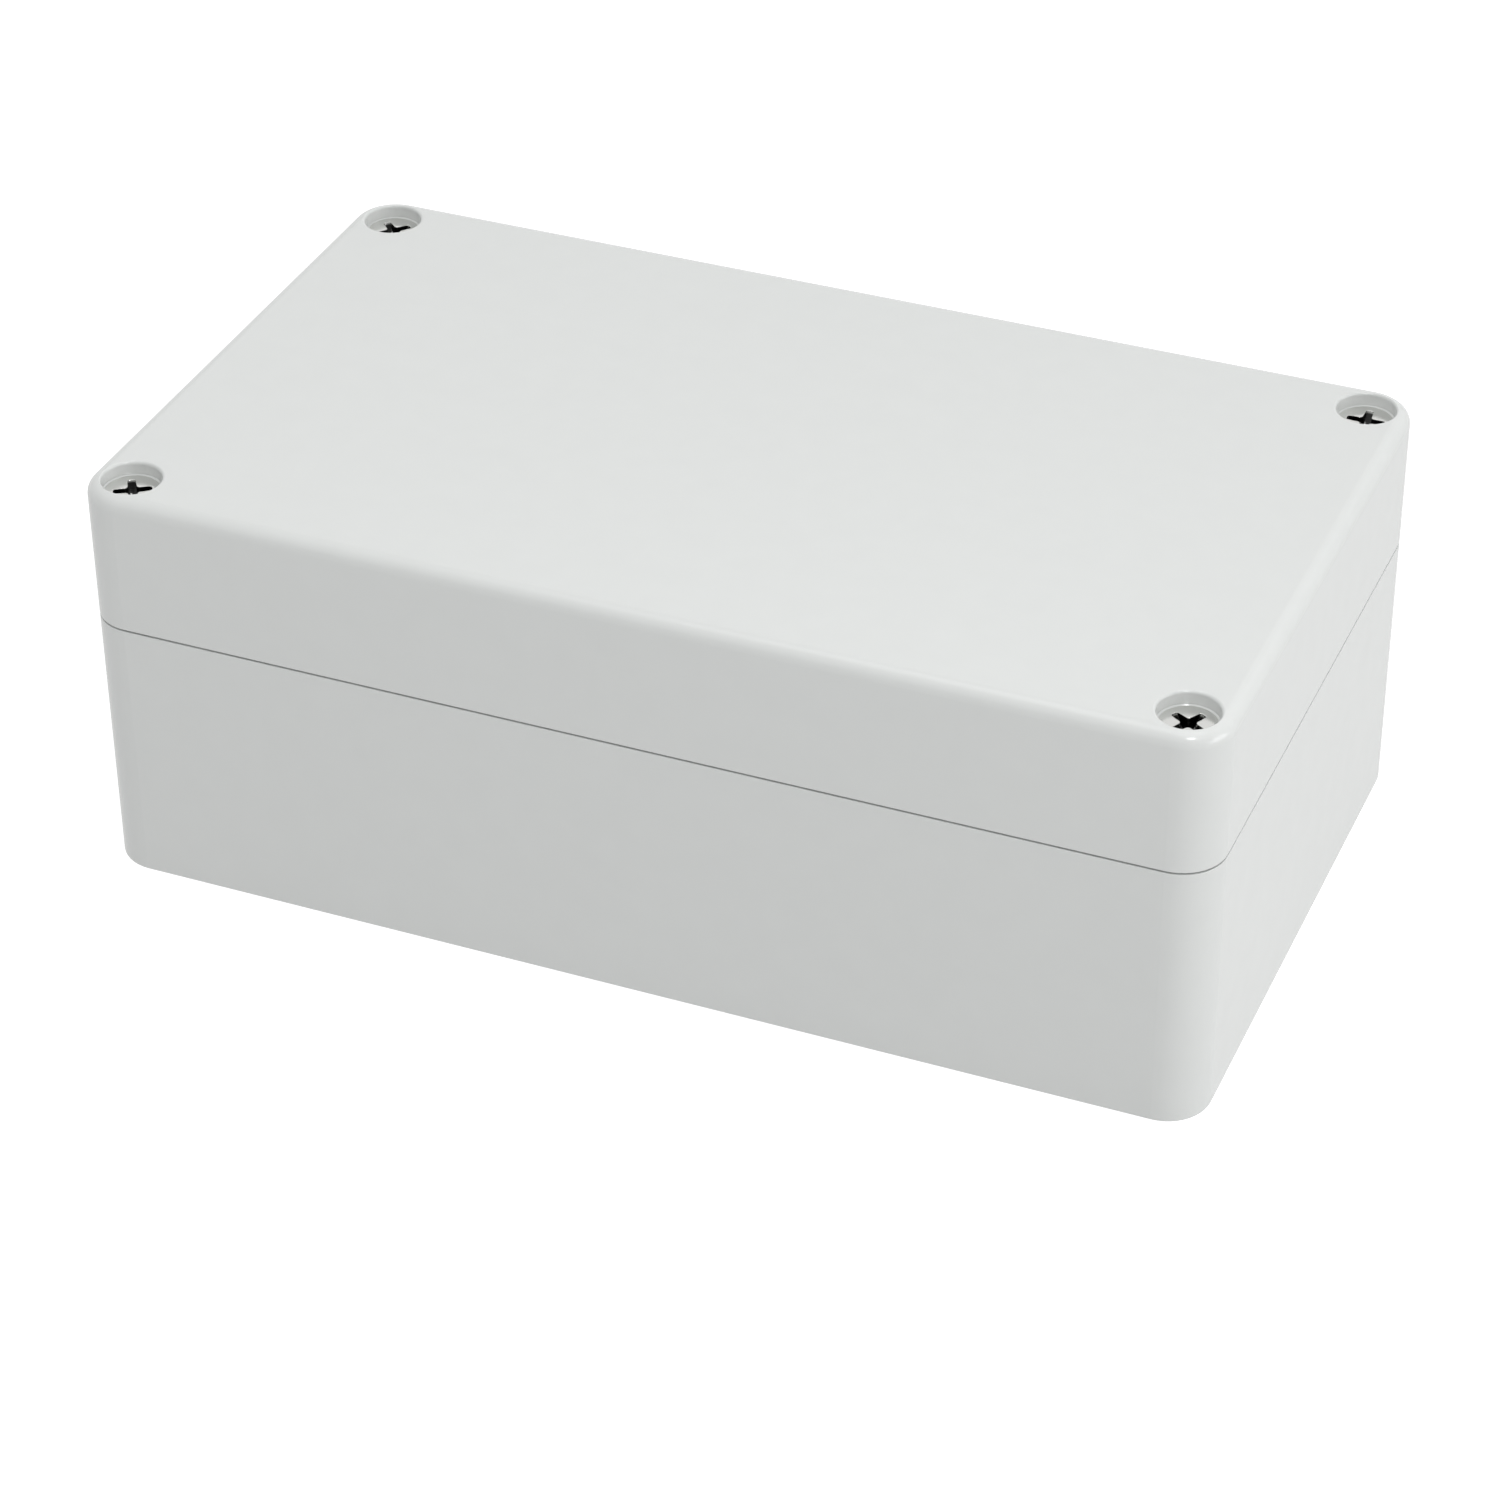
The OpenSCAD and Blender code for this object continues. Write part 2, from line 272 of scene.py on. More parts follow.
class Effects:
    """The shader groups that several finishes share."""

    FINE_DETAIL = 2.0
    BROAD_TO_FINE = 12.0

    def __init__(self) -> None:
        """Builds each group once."""
        self.grain = self._grain()
        self.rings = self._rings()

    @staticmethod
    def _group(
        name: str, inputs: dict[str, float], outputs: tuple[str, ...]
    ) -> tuple[bpy.types.NodeTree, NodeTree, bpy.types.Node, bpy.types.Node]:
        """Starts a group.

        Args:
            name: The group's name.
            inputs: Names and first values of its number inputs.
            outputs: Names of its number outputs.

        Returns:
            The group, a hand on it, and its input and output nodes.
        """
        group = bpy.data.node_groups.new(name, "ShaderNodeTree")
        for key, value in inputs.items():
            socket = group.interface.new_socket(key, in_out="INPUT", socket_type="NodeSocketFloat")
            socket.default_value = value
        for key in outputs:
            group.interface.new_socket(key, in_out="OUTPUT", socket_type="NodeSocketFloat")
        hand = NodeTree(group)
        return group, hand, group.nodes.new("NodeGroupInput"), group.nodes.new("NodeGroupOutput")

    def _grain(self) -> bpy.types.NodeTree:
        """A fine uneven skin: two sizes of noise mixed by Coarse, in Height and in Mask."""
        group, hand, given, out = self._group(
            "fine_grain", {"Scale": 1000.0, "Coarse": 0.3}, ("Height", "Mask")
        )
        place = hand.add("TexCoord").outputs["Object"]
        fine = hand.add("TexNoise", inputs={"Vector": place, "Scale": given.outputs["Scale"]})
        fine.inputs["Detail"].default_value = self.FINE_DETAIL
        broad_scale = hand.math("DIVIDE", given.outputs["Scale"], self.BROAD_TO_FINE)
        broad = hand.add("TexNoise", inputs={"Vector": place, "Scale": broad_scale})
        mixed = hand.add(
            "Mix",
            inputs={
                "Factor": given.outputs["Coarse"],
                2: fine.outputs["Fac"],
                3: broad.outputs["Fac"],
            },
        )
        group.links.new(mixed.outputs[0], out.inputs["Height"])
        group.links.new(broad.outputs["Fac"], out.inputs["Mask"])
        return group

    def _rings(self) -> bpy.types.NodeTree:
        """Fine turning marks about the axes of the four corners' screws.

        The distance from the nearest axis is taken on |x| and |y|, and a sine of it makes rings.
        """
        group, hand, given, out = self._group(
            "turning_rings", {"Axis X": 0.073, "Axis Y": 0.039, "Spacing": 0.0002}, ("Height",)
        )
        place = hand.add("TexCoord").outputs["Object"]
        parts = hand.add("SeparateXYZ", inputs={0: place})
        squares = []
        for axis in ("X", "Y"):
            out_from_middle = hand.math("ABSOLUTE", parts.outputs[axis])
            off = hand.math("SUBTRACT", out_from_middle, given.outputs[f"Axis {axis}"])
            squares.append(hand.math("MULTIPLY", off, off))
        reach = hand.math("SQRT", hand.math("ADD", *squares))
        full_turn = hand.math("MULTIPLY", reach, 2 * math.pi)
        turns = hand.math("DIVIDE", full_turn, given.outputs["Spacing"])
        group.links.new(hand.math("SINE", turns), out.inputs["Height"])
        return group


@dataclass(frozen=True)
class Plastic:
    """Light grey moulded plastic with a fine satin skin."""

    name: str = "housing_plastic"
    colour: tuple[float, float, float] = (0.70, 0.715, 0.705)
    roughness: float = 0.18
    roughness_spread: float = 0.02
    specular: float = 0.45
    grain_scale: float = 2600.0
    grain_depth: float = 0.002 * MM
    tint_low: float = 0.985
    tint_high: float = 1.015

    def material(self, effects: Effects) -> bpy.types.Material:
        """Builds the finish: an even colour under a skin whose gloss and height vary finely."""
        made, hand, shader = start_material(self.name)
        grain = hand.add("Group", node_tree=effects.grain)
        grain.inputs["Scale"].default_value = self.grain_scale
        low, high = self.roughness - self.roughness_spread, self.roughness + self.roughness_spread
        gloss = hand.add(
            "MapRange",
            inputs={"Value": grain.outputs["Mask"], "To Min": low, "To Max": high},
        )
        shade = hand.add(
            "MapRange",
            inputs={
                "Value": grain.outputs["Mask"],
                "To Min": self.tint_low,
                "To Max": self.tint_high,
            },
        )
        tint = hand.add(
            "Mix",
            data_type="RGBA",
            blend_type="MULTIPLY",
            inputs={"Factor": 1.0, 6: (*self.colour, 1.0), 7: shade.outputs[0]},
        )
        bump = hand.add(
            "Bump", inputs={"Height": grain.outputs["Height"], "Distance": self.grain_depth}
        )
        made.node_tree.links.new(tint.outputs[2], shader.inputs["Base Color"])
        made.node_tree.links.new(gloss.outputs[0], shader.inputs["Roughness"])
        made.node_tree.links.new(bump.outputs[0], shader.inputs["Normal"])
        shader.inputs["Specular IOR Level"].default_value = self.specular
        return made


@dataclass(frozen=True)
class TurnedMetal:
    """Bright turned metal with fine marks round each corner's axis."""

    name: str
    colour: tuple[float, float, float]
    roughness: float
    ring_spacing: float = 0.00022
    ring_depth: float = 0.0000015
    grain_scale: float = 1800.0
    gloss_low: float = 0.7
    gloss_high: float = 1.3
    recess_mark: str = ""
    recess_painted_shade: float = 0.06
    recess_from: float = 0.05
    recess_to: float = 0.4

    def material(self, effects: Effects) -> bpy.types.Material:
        """Builds the finish: metal whose gloss varies with the grain, ringed by the tool.

        Where the mesh stores a depth, the metal's colour darkens with it: painted shade in the cross
        recess.
        """
        made, hand, shader = start_material(self.name)
        grain = hand.add("Group", node_tree=effects.grain)
        grain.inputs["Scale"].default_value = self.grain_scale
        gloss = hand.add(
            "MapRange",
            inputs={
                "Value": grain.outputs["Mask"],
                "To Min": self.roughness * self.gloss_low,
                "To Max": self.roughness * self.gloss_high,
            },
        )
        rings = hand.add("Group", node_tree=effects.rings)
        rings.inputs["Spacing"].default_value = self.ring_spacing
        bump = hand.add(
            "Bump", inputs={"Height": rings.outputs["Height"], "Distance": self.ring_depth}
        )
        made.node_tree.links.new(gloss.outputs[0], shader.inputs["Roughness"])
        made.node_tree.links.new(bump.outputs[0], shader.inputs["Normal"])
        shader.inputs["Base Color"].default_value = (*self.colour, 1.0)
        shader.inputs["Metallic"].default_value = 1.0
        # Painted shade: the base colour darkens with the depth stored in the cross recess.
        if self.recess_mark:
            painted_shade_share = hand.add(
                "MapRange",
                interpolation_type="SMOOTHSTEP",
                inputs={
                    "Value": hand.add("Attribute", attribute_name=self.recess_mark).outputs["Fac"],
                    "From Min": self.recess_from,
                    "From Max": self.recess_to,
                },
            )
            painted_shade_colour = tuple(value * self.recess_painted_shade for value in self.colour)
            tint = hand.add(
                "Mix",
                data_type="RGBA",
                inputs={"Factor": painted_shade_share.outputs[0], 6: (*self.colour, 1.0), 7: (*painted_shade_colour, 1.0)},
            )
            made.node_tree.links.new(tint.outputs[2], shader.inputs["Base Color"])
        return made


@dataclass(frozen=True)
class Foam:
    """Cream silicone foam with a matt, slightly pitted skin."""

    name: str = "seal_foam"
    colour: tuple[float, float, float] = (0.80, 0.74, 0.62)
    roughness: float = 0.8
    pore_scale: float = 3500.0
    pore_depth: float = 0.00004
    tint_low: float = 0.8
    tint_high: float = 1.15

    def material(self, effects: Effects) -> bpy.types.Material:
        """Builds the finish: a cream body, darker in its pores."""
        made, hand, shader = start_material(self.name)
        grain = hand.add("Group", node_tree=effects.grain)
        grain.inputs["Scale"].default_value = self.pore_scale
        shade = hand.add(
            "MapRange",
            inputs={
                "Value": grain.outputs["Height"],
                "To Min": self.tint_low,
                "To Max": self.tint_high,
            },
        )
        tint = hand.add(
            "Mix",
            data_type="RGBA",
            blend_type="MULTIPLY",
            inputs={"Factor": 1.0, 6: (*self.colour, 1.0), 7: shade.outputs[0]},
        )
        bump = hand.add(
            "Bump", inputs={"Height": grain.outputs["Height"], "Distance": self.pore_depth}
        )
        made.node_tree.links.new(tint.outputs[2], shader.inputs["Base Color"])
        made.node_tree.links.new(bump.outputs[0], shader.inputs["Normal"])
        shader.inputs["Roughness"].default_value = self.roughness
        return made


def start_material(name: str) -> tuple[bpy.types.Material, NodeTree, bpy.types.Node]:
    """Starts a material with nodes.

    Args:
        name: The material's name.

    Returns:
        The material, a hand on its tree and its Principled shader.
    """
    made = bpy.data.materials.new(name)
    made.use_nodes = True
    return made, NodeTree(made.node_tree), made.node_tree.nodes["Principled BSDF"]


def dress(piece: bpy.types.Object, finish: bpy.types.Material) -> None:
    """Gives a piece one finish all over."""
    piece.data.materials.clear()
    piece.data.materials.append(finish)
    piece.data.polygons.foreach_set(
        "material_index", np.zeros(len(piece.data.polygons), dtype=np.int32)
    )


# ---------------------------------------------------------------------------------------------
# Pieces
# ---------------------------------------------------------------------------------------------


@dataclass
class Thread:
    """An M4 thread, shared by the screws and the inserts so that they mesh."""

    pitch: float = 0.7 * MM
    depth: float = 0.40 * MM
    start: float = 0.0
    rows_per_pitch: int = 12


@dataclass(frozen=True)
class CrossRecess:
    """The cross that the driver fits: four wings that meet in a wide middle."""

    radius: float = 2.6 * MM
    depth: float = 2.2 * MM
    wing: float = 1.15 * MM
    middle: float = 1.0 * MM
    fall: float = 5.2 * MM
    fall_power: float = 1.05
    lip: float = 0.05 * MM
    wall_lean: float = 0.08
    sharpness: float = 9.0
    attribute: str = "recess_depth"
    lip_rings: int = 4
    wall_rings: int = 5
    floor_rings: int = 21

    def outline(self, angle: np.ndarray) -> np.ndarray:
        """The cross's edge as a radius at each angle.

        A wing's side lies at half its width over the sine of the angle from the wing's own
        line. A soft minimum of that and the wing's reach gives the wing, and a soft maximum of
        the wing and the middle's radius joins the four. Both are power means.

        Args:
            angle: Angles from one of the wings, in radians.

        Returns:
            The radius at each angle.
        """
        quarter = math.pi / 2
        off = np.abs(np.mod(angle + quarter / 2, quarter) - quarter / 2)
        p = self.sharpness
        wing = (self.radius**-p + (np.sin(off) / (self.wing / 2)) ** p) ** (-1 / p)
        return (wing**p + self.middle**p) ** (1 / p)

    def floor(self, reach: np.ndarray) -> np.ndarray:
        """Depth of the recess at a distance from its axis.

        It is a soft minimum of the full depth and a power of the distance in from the wing's end.
        """
        rise = self.fall * np.clip(1 - reach / (self.radius * 1.02), 0, 1) ** self.fall_power
        p = 4
        return rise * self.depth / (rise**p + self.depth**p) ** (1 / p)

    def inside(self, outline: np.ndarray) -> tuple[np.ndarray, np.ndarray]:
        """The recess from its rounded lip down the wall and in to its middle.

        Args:
            outline: The edge's radius at each angle.

        Returns:
            Radius and depth of the rings, each shaped (rings, angles).
        """
        foot_depth = self.floor(outline)
        bend = np.linspace(0, math.pi / 2, self.lip_rings)[:, None]
        lip_reach = outline + self.lip * (1 - np.sin(bend))
        lip_depth = np.minimum(self.lip * (1 - np.cos(bend)), foot_depth)
        down = np.linspace(0, 1, self.wall_rings + 1)[1:, None]
        wall_depth = lip_depth[-1] + (foot_depth - lip_depth[-1]) * down
        wall_reach = outline - self.wall_lean * wall_depth
        share = np.linspace(1, 0.02, self.floor_rings + 1)[1:, None]
        floor_reach = wall_reach[-1] * share
        floor_depth = np.maximum(self.floor(floor_reach), foot_depth)
        radius = np.vstack([lip_reach, wall_reach, floor_reach])
        return radius, np.vstack([lip_depth, wall_depth, floor_depth])


@dataclass
class LidScrew:
    """A countersunk M4 screw with a cross recess."""

    corner: Corner
    turn_deg: float
    thread: Thread
    shank_radius: float = 1.95 * MM
    rim: float = 0.2 * MM
    edge: float = 0.08 * MM
    tip: float = 0.5 * MM
    cross: CrossRecess = CrossRecess()
    around: int = 128
    crease_deg: float = 35

    @property
    def node(self) -> str:
        """Name of the screw's node and of its body."""
        return f"screw_{self.corner.label}"

    def build(self, finish: bpy.types.Material) -> bpy.types.Object:
        """Makes the screw and puts it in its body.

        Args:
            finish: The steel's material.

        Returns:
            The screw's object.
        """
        low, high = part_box(self.node)
        centre = ((low.x + high.x) / 2, (low.y + high.y) / 2)
        radius = (high.x - low.x) / 2
        rings = np.concatenate(
            [
                self._shank(low.z, high.z - self.rim - (radius - self.shank_radius), centre),
                self._head_side(high.z, radius, centre),
                self._head_top(high.z, radius, centre),
            ]
        )
        made = tube_mesh(f"{self.node}_turned", rings)
        crease(made, self.crease_deg)
        self._mark_depth(made, high.z, centre)
        dress(made, finish)
        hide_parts(self.node)
        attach(made, self.node)
        return made

    def _shank(self, bottom: float, top: float, centre: tuple[float, float]) -> np.ndarray:
        """The threaded shank, from its domed tip to the head.

        The radius is the shank's less the thread's depth times its wave. The depth fades in
        over the dome and out over the last turn below the head.
        """
        dome = np.linspace(0.15, math.pi / 2, 6)
        dome_profile = np.stack(
            [
                self.shank_radius - self.tip * (1 - np.sin(dome)) * 1.6,
                bottom + self.tip * (1 - np.cos(dome)),
            ],
            axis=-1,
        )
        rows = round((top - bottom - self.tip) / self.thread.pitch * self.thread.rows_per_pitch)
        heights = np.linspace(bottom + self.tip, top, rows)[1:]
        shaft_profile = np.stack([np.full(rows - 1, self.shank_radius), heights], axis=-1)
        radius, height, angle = revolve(np.vstack([dome_profile, shaft_profile]), self.around)
        fade_in = np.clip((height - bottom) / (1.2 * self.tip) - 0.4, 0, 1)
        fade_out = np.clip((top - height) / self.thread.pitch, 0, 1)
        wave = thread_wave(height, angle, self.thread.pitch, self.thread.start)
        radius = radius - self.thread.depth * wave * fade_in * fade_out
        return to_points(radius, height, angle, centre)

    def _head_side(self, top: float, head: float, centre: tuple[float, float]) -> np.ndarray:
        """The head's cone, its straight rim and the rounded edge above it."""
        bend = np.linspace(0, math.pi / 2, 6)
        edge = np.stack(
            [
                head - self.edge * (1 - np.cos(bend)),
                top - self.edge * (1 - np.sin(bend)),
            ],
            axis=-1,
        )
        steps = np.linspace(0.04, 1, 8)
        cone = np.stack(
            [
                self.shank_radius + (head - self.shank_radius) * steps,
                top - self.rim - (head - self.shank_radius) * (1 - steps),
            ],
            axis=-1,
        )
        return to_points(*revolve(np.vstack([cone, edge]), self.around), centre)

    def _head_top(self, top: float, head: float, centre: tuple[float, float]) -> np.ndarray:
        """The head's flat top with its cross recess.

        The rings of the flat part blend from the head's edge to the cross's outline. Then come
        the rings of the recess, down its wall and in along its floor.
        """
        angle = np.linspace(0, 2 * math.pi, self.around, endpoint=False)
        outline = self.cross.outline(angle - math.radians(self.turn_deg))
        steps = np.linspace(0, 1, 7)[1:-1, None]
        flat = head - self.edge + (outline + self.cross.lip - head + self.edge) * steps
        reach, depth = self.cross.inside(outline)
        radius = np.vstack([flat, reach])
        height = np.vstack([np.full_like(flat, top), top - depth])
        return to_points(radius, height, np.broadcast_to(angle, radius.shape), centre)

    def _mark_depth(
        self, made: bpy.types.Object, top: float, centre: tuple[float, float]
    ) -> None:
        """Stores how far each point of the recess lies below the head, in millimetres.

        A point belongs to the recess if its depth and its distance from the axis add up to less
        than a limit that the rim, the cone and the shank all exceed. The flat top is level with
        the head, so its points store none.
        """
        count = len(made.data.vertices)
        points = np.empty(count * 3)
        made.data.vertices.foreach_get("co", points)
        points = points.reshape(count, 3)
        depth = top - points[:, 2]
        reach = np.hypot(points[:, 0] - centre[0], points[:, 1] - centre[1])
        inside = depth + reach < self.cross.radius + self.cross.depth / 3
        # The steel finish reads this depth to paint shade into the recess.
        mark = made.data.attributes.new(self.cross.attribute, "FLOAT", "POINT")
        mark.data.foreach_set("value", np.where(inside, depth, 0).astype(np.float32) / MM)


@dataclass
class ThreadedInsert:
    """A brass insert with two straight-knurled bands and an inside thread."""

    corner: Corner
    thread: Thread
    bore_radius: float = 2.0 * MM
    thread_play: float = 0.05 * MM
    knurl_depth: float = 0.25 * MM
    teeth: int = 28
    land: float = 0.9 * MM
    mouth: float = 0.4 * MM
    steps_per_tooth: int = 4
    ramp: float = 0.12 * MM
    crease_deg: float = 35

    @property
    def node(self) -> str:
        """Name of the insert's node."""
        return f"insert_{self.corner.label}"

    def build(self, finish: bpy.types.Material) -> bpy.types.Object:
        """Makes the insert and puts it in the base.

        Args:
            finish: The brass's material.

        Returns:
            The insert's object.
        """
        low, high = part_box(self.node)
        centre = ((low.x + high.x) / 2, (low.y + high.y) / 2)
        outer = self._outside(low.z, high.z, (high.x - low.x) / 2)
        inner = self._inside(low.z, high.z)
        rings = to_points(*(np.concatenate(pair) for pair in zip(outer, inner)), centre)
        made = tube_mesh(f"{self.node}_turned", rings, closed_path=True)
        crease(made, self.crease_deg)
        dress(made, finish)
        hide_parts(self.node)
        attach(made, "base")
        return made

    def _outside(
        self, bottom: float, top: float, radius: float
    ) -> tuple[np.ndarray, np.ndarray, np.ndarray]:
        """The outside from the bottom up: lands and two bands of straight teeth.

        A tooth's depth is a triangle wave of the angle, and its bands rise over short ramps.
        """
        band = (top - bottom - 3 * self.land) / 2
        marks = np.array([0, self.land, self.land + band, 2 * self.land + band])
        stops = np.concatenate(
            [
                [bottom],
                bottom + marks[1] + np.array([0, self.ramp]),
                bottom + marks[2] + np.array([-self.ramp, 0]),
                bottom + marks[3] + np.array([0, self.ramp]),
                top - self.land + np.array([-self.ramp, 0]),
                [top],
            ]
        )
        raised = np.array([0, 0, 1, 1, 0, 0, 1, 1, 0, 0], dtype=float)[:, None]
        base_profile = np.stack([np.full(len(stops), radius - self.knurl_depth), stops], axis=-1)
        span, height, angle = revolve(base_profile, self.teeth * self.steps_per_tooth)
        place = np.mod(angle / (2 * math.pi) * self.teeth, 1.0)
        tooth = 1 - np.abs(2 * place - 1)
        return span + raised * tooth * self.knurl_depth, height, angle

    def _inside(self, bottom: float, top: float) -> tuple[np.ndarray, np.ndarray, np.ndarray]:
        """The chamfered mouth and the threaded bore, from the top down."""
        rows = round((top - bottom - self.mouth) / self.thread.pitch * self.thread.rows_per_pitch)
        heights = np.linspace(top - self.mouth, bottom, rows)
        profile = np.stack([np.full(rows, self.bore_radius), heights], axis=-1)
        mouth = np.array([[self.bore_radius + self.mouth, top]])
        radius, height, angle = revolve(
            np.vstack([mouth, profile]), self.teeth * self.steps_per_tooth
        )
        fade = np.clip((top - height) / self.mouth, 0, 1)
        wave = thread_wave(height, angle, self.thread.pitch, self.thread.start)
        return radius - (self.thread.depth - self.thread_play) * wave * fade, height, angle


@dataclass
class SealCord:
    """The foam cord in the lid's groove, flattened by the base's tongue."""

    turn_radius: float = 2.5 * MM
    post_radius: float = 6.5 * MM
    fixing_pitch: float = 12.0 * MM
    width: float = 1.7 * MM
    rounding: float = 0.45 * MM
    joint: float = 0.3 * MM
    joint_x: float = 20.0 * MM
    spacing: float = 0.4 * MM
    waver: float = 0.02 * MM
    around: int = 24
    crease_deg: float = 60

    def build(self, finish: bpy.types.Material) -> bpy.types.Object:
        """Makes the cord and puts it in the lid.

        Args:
            finish: The foam's material.

        Returns:
            The cord's object.
        """
        low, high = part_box("seal")
        route = self._route(high.x - self.width / 2, high.y - self.width / 2)
        rings = self._sweep(route, (low.z + high.z) / 2, (high.z - low.z) / 2)
        made = tube_mesh("seal_cord", rings)
        crease(made, self.crease_deg)
        dress(made, finish)
        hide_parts("seal")
        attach(made, "lid")
        return made

    def _route(self, reach_x: float, reach_y: float) -> np.ndarray:
        """Points along the cord's centre line, evenly spaced from one cut end to the other.

        The line runs straight beside each wall, and in each corner it bends in, passes round
        the post and bends back, each bend a circular arc.
        """
        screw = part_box("screw_back_right")
        post_x = (screw[0].x + screw[1].x) / 2 - self.fixing_pitch
        post_y = (screw[0].y + screw[1].y) / 2
        turn, post = self.turn_radius, self.post_radius
        quarter = [
            arc((post_x - post - turn, reach_y - turn), turn, 90, 0),
            arc((post_x, post_y), post, 180, 270),
            arc((reach_x - turn, post_y - post - turn), turn, 90, 0),
        ]
        corner = np.vstack(quarter)
        across = corner[::-1] * (1, -1)
        line = np.vstack([corner, across, -corner, -across])
        cut = self.joint_x + self.joint / 2
        ends = [(cut, reach_y)], [(cut - self.joint, reach_y)]
        line = np.vstack([ends[0], line, ends[1]])
        steps = np.linalg.norm(np.diff(line, axis=0), axis=1)
        along = np.concatenate([[0], np.cumsum(steps)])
        even = np.linspace(0, along[-1], round(along[-1] / self.spacing))
        return np.stack([np.interp(even, along, line[:, k]) for k in range(2)], axis=-1)

    def _sweep(self, route: np.ndarray, middle: float, half_height: float) -> np.ndarray:
        """Carries the flattened section along the route.

        The section is a rectangle with round corners. It is narrowed by a slow sum of sines, so
        that the cord isn't perfectly even and never leaves its groove.
        """
        heading = np.gradient(route, axis=0)
        heading /= np.linalg.norm(heading, axis=1, keepdims=True)
        side = np.stack([-heading[:, 1], heading[:, 0]], axis=-1)
        flat_w = self.width / 2 - self.rounding
        flat_h = half_height - self.rounding
        angle = np.linspace(0, 2 * math.pi, self.around, endpoint=False) + math.pi / self.around
        across = np.sign(np.cos(angle)) * flat_w + self.rounding * np.cos(angle)
        up = np.sign(np.sin(angle)) * flat_h + self.rounding * np.sin(angle)
        t = np.arange(len(route)) * self.spacing / MM
        uneven = 1 - self.waver / self.width * (2 + np.sin(0.9 * t) + np.sin(2.3 * t + 1))
        out = route[:, None, :] + side[:, None, :] * (across * uneven[:, None])[..., None]
        height = np.broadcast_to(middle + up, out.shape[:2])
        return np.concatenate([out, height[..., None]], axis=-1)


def arc(
    centre: tuple[float, float], radius: float, start_deg: float, end_deg: float
) -> np.ndarray:
    """Points along a circular arc in plan, shaped (ARC_POINTS, 2)."""
    angle = np.radians(np.linspace(start_deg, end_deg, ARC_POINTS))
    return np.stack([np.cos(angle), np.sin(angle)], axis=-1) * radius + centre


@dataclass
class Housing:
    """The moulded base and lid, which keep their own meshes."""

    shells: tuple[str, ...] = ("base", "lid")

    def build(self, finish: bpy.types.Material) -> list[bpy.types.Object]:
        """Dresses both shells.

        Args:
            finish: The plastic's material.

        Returns:
            The shells' objects.
        """
        made = [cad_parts[name] for name in self.shells]
        for shell in made:
            dress(shell, finish)
        return made


# ---------------------------------------------------------------------------------------------
# Studio
# ---------------------------------------------------------------------------------------------


@dataclass(frozen=True)
class Softbox:
    """A round light: where it hangs, how strongly it lights a face turned to it, its width.

    It hangs far away, so that it lights the whole box alike, unless it has a distance.
    """

    name: str
    azimuth_deg: float
    elevation_deg: float
    strength: float
    spread_deg: float
    distance: float | None = None

    def build(self) -> None:
        """Hangs the light."""
        aim = heading(self.azimuth_deg, self.elevation_deg)
        data = self._far() if self.distance is None else self._near(self.distance)
        lamp = bpy.data.objects.new(self.name, data)
        lamp.location = (cad_bounds[0] + cad_bounds[1]) / 2 + aim * (self.distance or 1.0)
        lamp.rotation_euler = aim.to_track_quat("Z", "Y").to_euler()
        lamp.visible_camera = False
        bpy.context.scene.collection.objects.link(lamp)

    def _far(self) -> bpy.types.Light:
        """Returns a light whose rays are all but parallel."""
        data = bpy.data.lights.new(self.name, "SUN")
        data.energy = self.strength * math.pi
        data.angle = math.radians(self.spread_deg)
        return data

    def _near(self, distance: float) -> bpy.types.Light:
        """Returns a disc that lights the middle of the box as a far light of its strength would.

        Args:
            distance: Distance from the middle of the box.

        Returns:
            The light's data.
        """
        half_spread = math.radians(self.spread_deg / 2)
        data = bpy.data.lights.new(self.name, "AREA")
        data.shape = "DISK"
        data.size = 2 * distance * math.tan(half_spread)
        data.energy = self.strength * (math.pi * distance / math.cos(half_spread)) ** 2
        return data


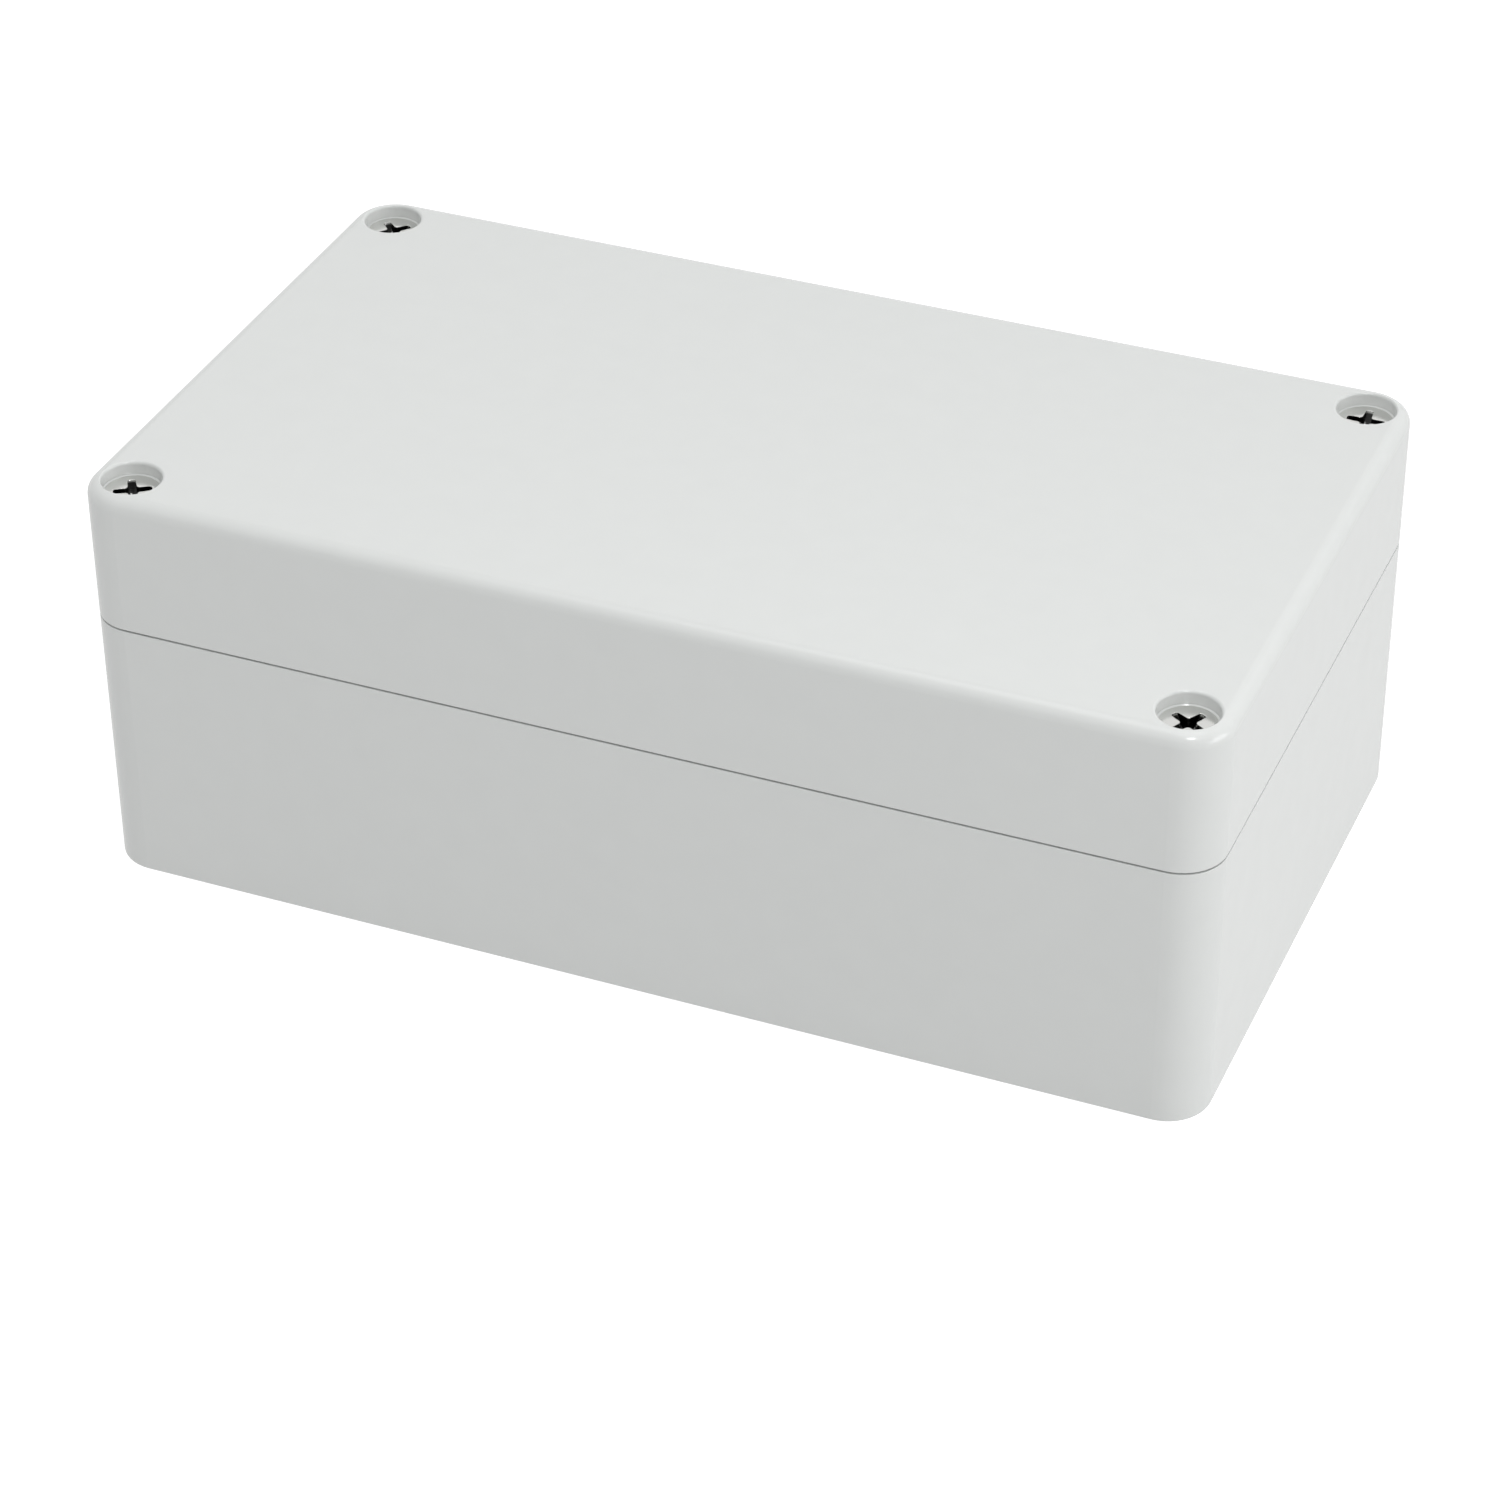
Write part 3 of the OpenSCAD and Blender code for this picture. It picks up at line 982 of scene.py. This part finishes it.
@dataclass
class Studio:
    """Camera, lit pale table, softboxes and a backdrop that is brightest behind the box."""

    azimuth_deg: float = 22.6565
    elevation_deg: float = 34.6989
    roll_deg: float = -0.4167
    distance: float = 612.797 * MM
    drift: tuple[float, float] = (0.9442 * MM, 16.3464 * MM)
    lens: float = 107.233
    floor_size: float = 40.0
    floor_gap: float = 0.02 * MM
    floor_glow: float = 0.64
    floor_seen: float = 0.95
    floor_shade: float = 0.2
    backdrop: float = 0.82
    backdrop_azimuth_deg: float = 202.0
    backdrop_elevation_deg: float = 30.0
    softboxes: tuple[Softbox, ...] = (
        Softbox("key", azimuth_deg=37, elevation_deg=50, strength=0.22, spread_deg=12, distance=0.6),
        Softbox("side", azimuth_deg=90, elevation_deg=0, strength=0.58, spread_deg=50),
        Softbox("fill", azimuth_deg=-20, elevation_deg=45, strength=0.08, spread_deg=60),
        Softbox("top", azimuth_deg=0, elevation_deg=90, strength=0.22, spread_deg=45),
    )

    def build(self) -> None:
        """Makes the camera, the floor, the lights and the backdrop."""
        self._camera()
        self._floor()
        for softbox in self.softboxes:
            softbox.build()
        self._world()
        bpy.context.scene.view_settings.view_transform = "Standard"

    def _camera(self) -> None:
        """Looks at the middle of the box from the front right and above.

        The camera turns about the box's middle by azimuth, elevation and roll, backs off by the
        distance, and then drifts sideways and up in its own plane.
        """
        back = heading(self.azimuth_deg, self.elevation_deg)
        turn, roll = math.radians(self.azimuth_deg), math.radians(self.roll_deg)
        level = Vector((math.cos(turn), math.sin(turn), 0))
        upright = back.cross(level)
        right = level * math.cos(roll) + upright * math.sin(roll)
        up = upright * math.cos(roll) - level * math.sin(roll)
        middle = (cad_bounds[0] + cad_bounds[1]) / 2
        place = middle + back * self.distance - right * self.drift[0] - up * self.drift[1]
        data = bpy.data.cameras.new("studio_camera")
        data.lens = self.lens
        data.sensor_width = 36.0
        data.clip_start = 0.01
        camera = bpy.data.objects.new("studio_camera", data)
        turned = Matrix((right, up, back)).transposed().to_4x4()
        camera.matrix_world = Matrix.Translation(place) @ turned
        bpy.context.scene.collection.objects.link(camera)
        bpy.context.scene.camera = camera

    def _floor(self) -> None:
        """A wide white floor that glows a little, as a lit acrylic table does.

        It lies just under the box, so that no two faces share a plane, and it is clear from below.
        """
        half, low = self.floor_size / 2, cad_bounds[0].z - self.floor_gap
        signs = ((-1, -1), (1, -1), (1, 1), (-1, 1))
        mesh = bpy.data.meshes.new("studio_floor")
        mesh.from_pydata([(x * half, y * half, low) for x, y in signs], [], [(0, 1, 2, 3)])
        floor = bpy.data.objects.new("studio_floor", mesh)
        bpy.context.scene.collection.objects.link(floor)
        made, hand, shader = start_material("studio_floor")
        glow = hand.seen_or_lit(self.floor_seen, self.floor_glow)
        made.node_tree.links.new(glow, shader.inputs["Emission Strength"])
        shader.inputs["Emission Color"].default_value = (1.0, 1.0, 1.0, 1.0)
        shader.inputs["Base Color"].default_value = (*(self.floor_shade,) * 3, 1.0)
        shader.inputs["Roughness"].default_value = 1.0
        shader.inputs["Specular IOR Level"].default_value = 0.0
        below = hand.add("NewGeometry").outputs["Backfacing"]
        clear = hand.add("BsdfTransparent").outputs[0]
        sides = hand.add("MixShader", inputs={0: below, 1: shader.outputs[0], 2: clear})
        output = made.node_tree.nodes["Material Output"]
        made.node_tree.links.new(sides.outputs[0], output.inputs["Surface"])
        dress(floor, made)

    def _world(self) -> None:
        """The backdrop: its light grows from none in front to its full strength behind.

        The strength is the backdrop's times (1 + d) / 2, where d is the dot product of the
        direction looked in and the backdrop's own. The camera itself sees it as white.
        """
        world = bpy.data.worlds.new("studio")
        world.use_nodes = True
        hand = NodeTree(world.node_tree)
        towards = heading(self.backdrop_azimuth_deg, self.backdrop_elevation_deg)
        along = hand.add(
            "VectorMath",
            operation="DOT_PRODUCT",
            inputs={0: hand.add("TexCoord").outputs["Generated"], 1: towards},
        )
        share = hand.add(
            "MapRange",
            inputs={"Value": along.outputs["Value"], "From Min": -1.0, "To Max": self.backdrop},
        )
        strength = hand.seen_or_lit(1.0, share.outputs[0])
        shader = world.node_tree.nodes["Background"]
        shader.inputs["Color"].default_value = (1.0, 1.0, 1.0, 1.0)
        world.node_tree.links.new(strength, shader.inputs["Strength"])
        bpy.context.scene.world = world


def heading(azimuth_deg: float, elevation_deg: float) -> Vector:
    """Direction from the box towards an azimuth, counted from the front, and an elevation."""
    azimuth, elevation = math.radians(azimuth_deg), math.radians(elevation_deg)
    flat = math.cos(elevation)
    return Vector((math.sin(azimuth) * flat, -math.cos(azimuth) * flat, math.sin(elevation)))


def main() -> None:
    """Builds the pieces and the studio in order, and reports each piece."""
    logging.basicConfig(level=logging.INFO, format="%(name)s: %(message)s")
    effects = Effects()
    # The steel gets painted shade in the cross recess, darker with depth.
    steel_finish = TurnedMetal(
        "screw_steel", (0.84, 0.84, 0.82), 0.14, recess_mark=CrossRecess().attribute
    )
    steel = steel_finish.material(effects)
    brass = TurnedMetal("insert_brass", (0.83, 0.63, 0.30), 0.25).material(effects)
    thread = Thread()
    turns = {
        Corner.FRONT_LEFT: 32.0,
        Corner.FRONT_RIGHT: 61.0,
        Corner.BACK_LEFT: 48.0,
        Corner.BACK_RIGHT: 2.0,
    }
    made = Housing().build(Plastic().material(effects))
    made += [LidScrew(corner, turns[corner], thread).build(steel) for corner in Corner]
    made += [ThreadedInsert(corner, thread).build(brass) for corner in Corner]
    made.append(SealCord().build(Foam().material(effects)))
    for piece in made:
        LOG.info("%s: %d faces", piece.name, len(piece.data.polygons))
    Studio().build()


if __name__ == "__main__":
    main()
